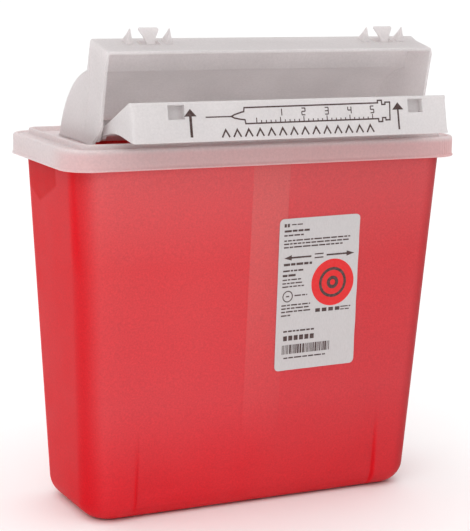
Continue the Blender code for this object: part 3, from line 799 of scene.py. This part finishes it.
def hood_inner_profile():
    radius = BARREL_RADIUS - HOOD_WALL
    back_offset = HOOD_WALL / math.cos(math.atan2(HOOD_BACK_FOOT_Y - HOOD_BACK_TOP_Y, 18 * MM))
    crease_y = HOOD_BACK_FOOT_Y - back_offset
    crease = math.degrees(math.acos((crease_y - BARREL_CENTRE[0]) / radius))
    drop = HOOD_WALL / math.cos(TOP_SLOPE)
    inner_back = HOOD_BACK_TOP_Y - back_offset + 0.5 * MM
    front = HOOD_FRONT_TOP[0] - 12 * MM
    foot = -8 * MM
    profile = [(front, foot)]
    profile += arc(BARREL_CENTRE, radius, barrel_angle(foot, radius), crease, 30)
    ceiling = top_height(inner_back) - drop
    profile += [(inner_back, ceiling - 1.4 * MM), (inner_back - 0.4 * MM, ceiling - 0.5 * MM),
                (inner_back - 1.5 * MM, ceiling - 0.25 * MM), (front, top_height(front) - drop)]
    return lifted(profile)


def hood_top_frame(x, y):
    place = Matrix.Translation((x, y, LIP_Z + top_height(y)))
    return place @ Matrix.Rotation(TOP_SLOPE, 4, "X")


def guard_shape(matrix):
    """Thorn beside a plug: a broad foot, a hollow back edge and a blunt tip near the front."""
    foot_half, foot_depth = 2.4 * MM, 9.4 * MM
    tip_half, tip_depth = 0.35 * MM, 0.8 * MM
    root = 0.8 * MM                     # how far it goes into the hood's top wall
    shape = bmesh.new()
    loops = []
    for share in (0.0, 0.15, 0.35, 0.6, 0.85, 1.0):
        narrow = (1 - share) ** 1.15
        half = tip_half + (foot_half - tip_half) * narrow
        front = (-1.9 + 2.2 * share) * MM
        back = front + tip_depth + (foot_depth - tip_depth) * narrow
        height = (GUARD_HEIGHT + root) * share - root
        corners = ((-half, front), (half, front), (half, back), (-half, back))
        loops.append([shape.verts.new(matrix @ Vector((x, y, height))) for x, y in corners])
    stitch(shape, loops)
    return shape


def seam_shape(side):
    """Thin ridge on an end wall where the box of the hood meets its barrel."""
    shape = bmesh.new()
    loops = []
    for number, (y, height) in enumerate(SEAM_LINE):
        wide = (0.45 if number in (0, len(SEAM_LINE) - 1) else 0.7) * MM
        x = side * (HOOD_HALF_X - 0.4 * MM)
        proud = side * (HOOD_HALF_X + 0.28 * MM)
        z = LIP_Z + height * MM
        corners = ((x, y * MM - wide), (proud, y * MM - wide * 0.3), (proud, y * MM + wide * 0.3),
                   (x, y * MM + wide))
        loops.append([shape.verts.new((px, py, z)) for px, py in corners])
    stitch(shape, loops)
    return shape


def build_hood(material):
    profile, radii = hood_profile()
    hood = finish_mesh("hood_cover", soft_prism(profile, radii, HOOD_HALF_X, steps=4), material, 1e-6)
    inner = hood_inner_profile()
    hollow = soft_prism(inner, [1.0 * MM] * len(inner), HOOD_HALF_X - HOOD_WALL, steps=2)
    tools = []
    add_tool(hood, tools, hollow, "DIFFERENCE")
    freeze(hood, tools)
    add_bevel(hood, HOOD_EDGE, 3)
    freeze(hood)
    triangulate(hood)
    tools = []
    for side in (-1, 1):
        boss = rod(BOSS_RADIUS, side * BOSS_INNER_X, side * (HOOD_HALF_X - 0.6 * MM), PIVOT_Y, PIVOT_Z)
        add_tool(hood, tools, boss, "UNION")
        bore_start, bore_end = side * (BOSS_INNER_X - MM), side * (PIN_REACH + 0.4 * MM)
        bore = rod(PIN_RADIUS + PIN_PLAY, bore_start, bore_end, PIVOT_Y, PIVOT_Z)
        add_tool(hood, tools, bore, "DIFFERENCE")
        add_tool(hood, tools, seam_shape(side), "UNION")
        for y in LEG_Y:
            size = (LEG_SIZE[0], LEG_SIZE[1], LEG_SIZE[2] + LEG_ROOT)
            leg_z = LIP_Z + (LEG_ROOT - LEG_SIZE[2]) / 2
            add_tool(hood, tools, block(size, Matrix.Translation((side * LEG_X, y, leg_z))), "UNION")
    for plug_x in PLUG_X.values():
        slot_place = Matrix.Translation((0, SLOT_SIZE[1] / 2 - 0.4 * MM, 0))
        slot = block(SLOT_SIZE, hood_top_frame(plug_x, PLUG_FOOT_Y) @ slot_place)
        add_tool(hood, tools, slot, "DIFFERENCE")
        for offset in GUARD_OFFSETS:
            guard = guard_shape(hood_top_frame(plug_x + offset, GUARD_Y))
            add_tool(hood, tools, guard, "UNION", GUARD_EDGE)
    freeze(hood, tools)
    even_normals(hood)
    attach(hood, "container")
    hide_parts("hood_shell")


def build_plug(name, material):
    """Leaning wedge: a narrow foot in the slot and a broad head with blunt ears."""
    matrix = hood_top_frame(PLUG_X[name], PLUG_FOOT_Y)
    foot, head = PLUG_FOOT_WIDTH / 2, PLUG_HEAD_WIDTH / 2
    shape = bmesh.new()
    loops = []
    for height, half, share, thick in (
        (-1.9 * MM, foot, 0.0, 2.2 * MM),
        (0.0, foot, 0.0, 2.2 * MM),
        (1.4 * MM, foot + 0.25 * MM, 0.13, 2.1 * MM),
        (4.2 * MM, foot + 1.7 * MM, 0.46, 1.9 * MM),
        (6.4 * MM, head - 0.75 * MM, 0.74, 1.8 * MM),
        (7.6 * MM, head, 0.89, 1.7 * MM),
        (PLUG_HEIGHT, head - 0.5 * MM, 1.0, 1.6 * MM),
    ):
        front = PLUG_LEAN * share
        corners = ((-half, front), (half, front), (half, front + thick), (-half, front + thick))
        loops.append([shape.verts.new(matrix @ Vector((x, y, height))) for x, y in corners])
    stitch(shape, loops)
    plug = finish_mesh("push_tab" + name[len("lock_plug"):], shape, material)
    add_bevel(plug, 0.45 * MM, 3, 30)
    freeze(plug)
    even_normals(plug)
    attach(plug, PLUG_BODY[name])
    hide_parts(name)


# ---- tray ----

def panel_point(height, depth):
    """(y, height) of a point on the front panel, at a depth behind its outer face."""
    y = PANEL_FOOT[0] + (height - PANEL_FOOT[1]) * math.tan(PANEL_LEAN) + depth * math.cos(PANEL_LEAN)
    return y, height - depth * math.sin(PANEL_LEAN)


def panel_frame(x, height):
    """Frame on the panel's outer face: -Y is its outward normal."""
    y, level = panel_point(height, 0.0)
    return Matrix.Translation((x, y, LIP_Z + level)) @ Matrix.Rotation(-PANEL_LEAN, 4, "X")


def tray_outer():
    face = ((9.0, 0.0), (17.0, 0.0), (26.6, 0.0), (29.0, 0.0), (29.7, 0.6), (29.9, 1.6))
    panel = [panel_point(height * MM, depth * MM) for height, depth in face] + [(-75.2 * MM, 29.3 * MM)]
    panel_radii = [radius * MM for radius in (2.2, 2.2, 2.2, 1.2, 0.8, 0.7, 0.6)]
    cheek = [(-37.5 * MM, 11.4 * MM), (-28.2 * MM, 9.4 * MM)]
    plate = [(PLATE_BACK_Y, 9.4 * MM), (PLATE_BACK_Y, 7.5 * MM), (-27.0 * MM, 7.5 * MM)]
    floor = [(y * MM, height * MM) for y, height in FLOOR_UNDERSIDE]
    foot = [(-80.5 * MM, 6.4 * MM), PANEL_FOOT]
    radii = panel_radii + [0.4 * MM] * (len(cheek) + len(plate) + len(floor)) + [0.8 * MM, 1.0 * MM]
    return lifted(panel + cheek + plate + floor + foot), radii


def tray_inner():
    panel = [panel_point(8.9 * MM, PANEL_THICK), panel_point(36.0 * MM, PANEL_THICK)]
    back = [(24.0 * MM, 36.0 * MM), (24.0 * MM, 9.4 * MM), (-27.5 * MM, 9.4 * MM), (-30.5 * MM, 8.1 * MM)]
    floor = [(y * MM, height * MM + TRAY_WALL) for y, height in FLOOR_UNDERSIDE[1:]]
    return lifted(panel + back + floor + [(-79.0 * MM, 8.5 * MM)])


def build_tray(material):
    profile, radii = tray_outer()
    tray = finish_mesh("tilt_tray", soft_prism(profile, radii, TRAY_HALF_X, steps=6), material)
    tools = []
    add_tool(tray, tools, prism(tray_inner(), TRAY_HALF_X - TRAY_WALL), "DIFFERENCE")
    freeze(tray, tools)
    add_bevel(tray, TRAY_EDGE)
    freeze(tray)
    triangulate(tray)
    tools = []
    hub_start = TRAY_HALF_X - TRAY_WALL - 0.4 * MM
    for side in (-1, 1):
        hub = rod(HUB_RADIUS, side * hub_start, side * TRAY_HALF_X, PIVOT_Y, PIVOT_Z)
        add_tool(tray, tools, hub, "UNION")
        pin = rod(PIN_RADIUS, side * (TRAY_HALF_X - MM), side * PIN_REACH, PIVOT_Y, PIVOT_Z)
        add_tool(tray, tools, pin, "UNION")
    width, depth, height = POCKET_SIZE
    sink = 0.4 * MM
    box_size = (width + 2 * POCKET_WALL, depth + POCKET_WALL - sink, height + 2 * POCKET_WALL)
    for pocket_x in POCKET_X:
        matrix = panel_frame(pocket_x, POCKET_HEIGHT)
        box = block(box_size, matrix @ Matrix.Translation((0, sink + box_size[1] / 2, 0)))
        add_tool(tray, tools, box, "UNION")
        add_tool(tray, tools, block((width, 2 * depth, height), matrix), "DIFFERENCE")
    freeze(tray, tools)
    even_normals(tray)
    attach(tray, "tray")
    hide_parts("drop_tray")


# ---- prints ----

def patch(shape, place, start_u, end_u, start_w, end_w, step=1.5):
    """Rectangle in print coordinates, in mm, in columns narrow enough to follow the surface."""
    columns = max(1, math.ceil(abs(end_u - start_u) / step))
    rows = []
    for column in range(columns + 1):
        u = start_u + (end_u - start_u) * column / columns
        rows.append([shape.verts.new(place(u * MM, w * MM)) for w in (start_w, end_w)])
    strip(shape, rows)


def arrow_head(shape, place, tip, base, w, half):
    """Triangle pointing along the label, in columns that follow the surface; all sizes in mm."""
    columns = 6
    rows = []
    for column in range(columns + 1):
        share = max(0.02, column / columns)
        u = tip + (base - tip) * share
        rows.append([shape.verts.new(place(u * MM, (w + side * half * share) * MM)) for side in (-1, 1)])
    strip(shape, rows)


def polygon(shape, place, points):
    shape.faces.new([shape.verts.new(place(u, w)) for u, w in points])


def stroke(shape, place, points, width, closed=False):
    """Line of even width through points, with mitred corners."""
    count = len(points)
    sides = []
    for index, point in enumerate(points):
        here = Vector(point)
        edges = []
        if index or closed:
            edges.append((here - Vector(points[index - 1])).normalized())
        if index < count - 1 or closed:
            edges.append((Vector(points[(index + 1) % count]) - here).normalized())
        normals = [Vector((-edge.y, edge.x)) for edge in edges]
        if len(normals) == 2:
            shift = (normals[0] + normals[1]) / max(0.3, 1 + normals[0].dot(normals[1]))
        else:
            shift = normals[0]
        sides.append([shape.verts.new(place(*(here + shift * width / 2 * sign))) for sign in (-1, 1)])
    strip(shape, sides, closed)


def ring(shape, place, centre, inner, outer, steps=48, rows=1):
    loops = []
    for row in range(rows + 1):
        radius = inner + (outer - inner) * row / rows
        loops.append([shape.verts.new(place(*point)) for point in arc(centre, radius, 0, 360, steps)[:-1]])
    stitch(shape, loops, capped=False)


def ink_piece(name, shape, material, body):
    print_piece = finish_mesh(name, shape, material, 1e-8, sheet=True)
    add_solidify(print_piece, INK_THICK)
    freeze(print_piece)
    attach(print_piece, body)


def build_tray_print(material):
    """Syringe outline with a plain scale, two arrows and a row of chevrons, all pointing up."""
    shape = bmesh.new()

    def place(x, height):
        y, level = panel_point(height, -INK_THICK)
        return x, y, LIP_Z + level

    def line(points, width=0.85, closed=False):
        stroke(shape, place, [(x * MM, height * MM) for x, height in points], width * MM, closed)

    for x, tip, stem in ((-70.2, 25.6, 1.7), (71.5, 26.0, 1.2)):
        head = ((x - 4, tip - 4.4), (x + 4, tip - 4.4), (x, tip))
        polygon(shape, place, [(px * MM, height * MM) for px, height in head])
        line([(x, tip - 4.3), (x, tip - 16.4)], stem)
    line([(-60.4, 20.5), (-43.6, 20.5)], 0.7)
    line([
        (-43.6, 20.5), (-41.5, 21.5), (-36.5, 22.9), (-35.2, 23.1), (-34.8, 25.4), (57.3, 26.0),
        (57.3, 27.5), (60.2, 27.5), (60.2, 25.0), (62.6, 25.0), (62.6, 26.3), (66.0, 26.3),
        (65.3, 15.6), (62.4, 15.6), (62.4, 17.0), (60.0, 17.0), (60.0, 14.7), (57.2, 14.7),
        (57.2, 16.5), (-34.4, 16.1), (-34.8, 18.4), (-37.5, 18.7), (-41.5, 19.5),
    ], closed=True)
    scale_start, tick_gap, ticks_each = -27.0, 3.2, 5
    for tick in range(5 * ticks_each + 1):
        x = scale_start + tick_gap * tick
        line([(x, 16.3), (x, 17.9 if tick % ticks_each else 19.4)], 0.6)
    for digit in SEGMENTS:
        draw_digit(line, digit, scale_start + tick_gap * ticks_each * digit, 20.2)
    for chevron in range(14):
        x = -48.0 + 7.6 * chevron
        line([(x - 2.5, 8.6), (x, 12.9), (x + 2.5, 8.6)], 1.0)
    ink_piece("tray_marks", shape, material, "tray")


SEGMENTS = {1: "bc", 2: "abged", 3: "abgcd", 4: "fgbc", 5: "afgcd"}


def draw_digit(line, digit, x, foot):
    """Plain seven-segment figure for the scale."""
    wide, tall = 2.3, 4.0
    left, right, middle, top = x - wide / 2, x + wide / 2, foot + tall / 2, foot + tall
    ends = {
        "a": ((left, top), (right, top)), "b": ((right, middle), (right, top)),
        "c": ((right, foot), (right, middle)), "d": ((left, foot), (right, foot)),
        "e": ((left, foot), (left, middle)), "f": ((left, middle), (left, top)),
        "g": ((left, middle), (right, middle)),
    }
    for segment in SEGMENTS[digit]:
        line(list(ends[segment]), 0.65)


def label_surface(u, w, lift):
    """Point of the label at u from its left edge and w from its foot, lifted off the wall.

    The film drapes over the raised band and curls a little along its right edge.
    """
    half_u, half_w = LABEL_SIZE[0] / 2, LABEL_SIZE[1] / 2
    turned_u = (u - half_u) * math.cos(LABEL_TURN) - (w - half_w) * math.sin(LABEL_TURN)
    turned_w = (u - half_u) * math.sin(LABEL_TURN) + (w - half_w) * math.cos(LABEL_TURN)
    x = LABEL_MIDDLE[0] + turned_u
    z = LABEL_MIDDLE[1] + turned_w
    drape = BAND_RISE * smooth_step(x, BAND_X[1] + 5.0 * MM, BAND_X[1] + 0.5 * MM)
    curl = 0.35 * MM * smooth_step(u, LABEL_SIZE[0] - 7 * MM, LABEL_SIZE[0])
    curl *= 0.5 - 0.5 * math.cos(2 * math.pi * (w / (23 * MM) + 0.2))
    stand = 0.05 * MM + drape + curl + lift
    tilt = math.atan((BIN_TOP_HALF[1] - BIN_BASE_HALF[1]) / BIN_TAPER_HEIGHT)
    return x, -bin_half(z)[1] - stand * math.cos(tilt), z - stand * math.sin(tilt)


def build_label(material):
    shape = bmesh.new()
    width, tall = LABEL_SIZE
    corner_steps = [LABEL_CORNER * inward for inward, _ in quarter_turn(6)]
    across = corner_steps + [LABEL_CORNER + (width - 2 * LABEL_CORNER) * step / 40 for step in range(1, 40)]
    across += [width - value for value in reversed(corner_steps)]
    rows = 48
    columns = []
    for u in across:
        side = min(u, width - u)
        cut = 0.0
        if side < LABEL_CORNER:
            cut = LABEL_CORNER - math.sqrt(LABEL_CORNER ** 2 - (LABEL_CORNER - side) ** 2)
        heights = [cut + (tall - 2 * cut) * row / rows for row in range(rows + 1)]
        columns.append([shape.verts.new(label_surface(u, w, FILM_THICK)) for w in heights])
    strip(shape, columns)
    film = finish_mesh("label_film", shape, material, 1e-8, sheet=True)
    add_solidify(film, FILM_THICK)
    freeze(film)
    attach(film, "container")
    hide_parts("container_label")


def build_label_print(ink, red):
    """Generic print: plain word bars, a fill-level arrow pair, a ring and a bar pattern, with a red disc."""
    shape = bmesh.new()
    draws = random.Random(11)

    def place(u, w):
        return label_surface(u, w, FILM_THICK + INK_THICK)

    def bar(start, end, low, high):
        patch(shape, place, start, end, low, high)

    def words(start, end, w, tall):
        """A line of text stood for by plain bars of word length."""
        u = start
        while u < end - 0.6:
            stop = min(end, u + draws.uniform(1.6, 5.5))
            bar(u, stop, w - 0.6 * tall, w + 0.6 * tall)
            u = stop + 0.7

    bar(3.3, 4.9, 94.0, 96.2)
    bar(5.5, 7.1, 94.0, 96.2)
    for start, end, w, tall in (
        (8.6, 16.5, 95.4, 0.6), (3.5, 21.6, 91.4, 1.1), (3.4, 17.4, 88.6, 0.8),
        (3.5, 51.4, 85.2, 0.75), (3.5, 51.0, 83.1, 0.75), (3.5, 46.2, 80.9, 0.75),
        (3.9, 24.3, 69.7, 1.3), (3.6, 18.2, 65.6, 0.9), (3.4, 12.8, 62.6, 1.2), (3.4, 16.8, 59.8, 0.7),
        (3.4, 17.7, 57.5, 0.7), (3.4, 19.3, 55.3, 0.7), (12.6, 21.8, 49.1, 0.7),
        (3.3, 24.2, 43.1, 0.75), (3.3, 23.2, 41.0, 0.75), (3.3, 24.8, 38.8, 0.75), (3.3, 10.4, 36.4, 0.75),
        (46.6, 54.0, 38.9, 0.6), (46.6, 53.0, 37.1, 0.6), (5.4, 27.8, 25.8, 0.9), (6.3, 37.0, 8.1, 0.75),
    ):
        words(start, end, w, tall)
    for number in range(6):
        bar(5.5 + 3.9 * number, 8.4 + 3.9 * number, 19.6, 22.8)
    for number in range(4):
        bar(28.2 + 4.8 * number, 31.6 + 4.8 * number, 36.8, 39.2)

    for tip, tail, turn in ((3.9, 23.6, 1), (54.9, 34.7, -1)):
        bar(tip + 5.0 * turn, tail, 73.45, 74.55)
        arrow_head(shape, place, tip, tip + 5.6 * turn, 74.0, 1.75)
    bar(26.0, 32.4, 72.4, 73.2)
    bar(26.0, 32.4, 74.8, 75.6)

    ring(shape, place, (7.6 * MM, 48.9 * MM), 3.1 * MM, 3.8 * MM)
    bar(6.4, 8.8, 48.5, 49.3)

    u = 4.9
    while u < 39.4:
        wide = draws.choice((0.5, 0.5, 0.9, 1.3))
        bar(u, u + wide, 10.7, 16.8)
        u += wide + draws.choice((0.35, 0.5, 0.7))

    ink_piece("label_marks", shape, ink, "container")

    centre = (39.9 * MM, 55.7 * MM)
    disc = bmesh.new()
    ring(disc, place, centre, 0.0, 15.4 * MM, 72, 8)
    bmesh.ops.remove_doubles(disc, verts=disc.verts, dist=1e-8)
    ink_piece("label_disc", disc, red, "container")

    rings = bmesh.new()

    def above(u, w):
        return label_surface(u, w, FILM_THICK + 2 * INK_THICK)

    ring(rings, above, centre, 8.0 * MM, 9.9 * MM, 72)
    ring(rings, above, centre, 1.9 * MM, 4.2 * MM, 48)
    ink_piece("label_disc_rings", rings, ink, "container")


# ---- studio ----

CAMERA_AZIMUTH = math.radians(-26.58)
CAMERA_ELEVATION = math.radians(10.93)
CAMERA_ROLL = math.radians(1.25)
CAMERA_DISTANCE = 1.137
CAMERA_TARGET = Vector((1.2 * MM, 0.0, 150.3 * MM))
CAMERA_LENS = 117.83


def build_camera():
    back = Vector((math.sin(CAMERA_AZIMUTH) * math.cos(CAMERA_ELEVATION),
                   -math.cos(CAMERA_AZIMUTH) * math.cos(CAMERA_ELEVATION),
                   math.sin(CAMERA_ELEVATION)))
    right = Vector((-back.y, back.x, 0.0)).normalized()
    up = back.cross(right)
    turned_right = right * math.cos(CAMERA_ROLL) + up * math.sin(CAMERA_ROLL)
    turned_up = up * math.cos(CAMERA_ROLL) - right * math.sin(CAMERA_ROLL)
    turn = Matrix((turned_right, turned_up, back)).transposed().to_4x4()
    data = bpy.data.cameras.new("camera")
    data.lens = CAMERA_LENS
    data.sensor_width = 36.0
    camera = bpy.data.objects.new("camera", data)
    camera.matrix_world = Matrix.Translation(CAMERA_TARGET + back * CAMERA_DISTANCE) @ turn
    bpy.context.scene.collection.objects.link(camera)
    bpy.context.scene.camera = camera


def add_softbox(name, place, size, power):
    data = bpy.data.lights.new(name, "AREA")
    data.shape = "RECTANGLE"
    data.size, data.size_y = size
    data.energy = power
    light = bpy.data.objects.new(name, data)
    aim = Vector((0.0, 0.0, 0.15)) - Vector(place)
    light.matrix_world = Matrix.Translation(place) @ aim.to_track_quat("-Z", "Y").to_matrix().to_4x4()
    bpy.context.scene.collection.objects.link(light)


def build_studio():
    world = bpy.data.worlds.new("studio")
    world.use_nodes = True
    tree = world.node_tree
    upward = axes_of(tree, node(tree, "TexCoord").outputs["Generated"])["Z"]
    overhead = ramp_range(tree, upward, 0.1, 0.7)
    sky = mix_colour(tree, overhead, (0.36, 0.36, 0.36), (1.28, 1.28, 1.28))
    tree.links.new(sky, tree.nodes["Background"].inputs["Color"])
    bpy.context.scene.world = world
    add_softbox("key_softbox", place=(-1.3, -1.3, 1.5), size=(1.2, 1.2), power=6.0)
    shape = bmesh.new()
    bmesh.ops.create_circle(shape, cap_ends=True, radius=40.0, segments=96)
    floor = finish_mesh("floor", shape, floor_material())
    floor.location.z = -0.2 * MM
    bpy.context.scene.view_settings.view_transform = "Standard"


def main():
    build_camera()
    build_studio()
    red = bin_material()
    milky = natural_material("hood_natural", (0.93, 0.89, 0.89), roughness=0.36, passing=0.45)
    white = natural_material("tray_white", (0.86, 0.82, 0.82), roughness=0.42, passing=0.25)
    brown_ink = ink_material("brown_ink", (0.055, 0.024, 0.022), worn=0.12)
    red_ink = ink_material("red_ink", (0.76, 0.012, 0.014), worn=0.03)
    build_bin(red)
    build_lid(lid_material())
    build_hood(milky)
    for name in PLUG_X:
        build_plug(name, milky)
    build_tray(white)
    build_tray_print(brown_ink)
    build_label(film_material())
    build_label_print(brown_ink, red_ink)


main()
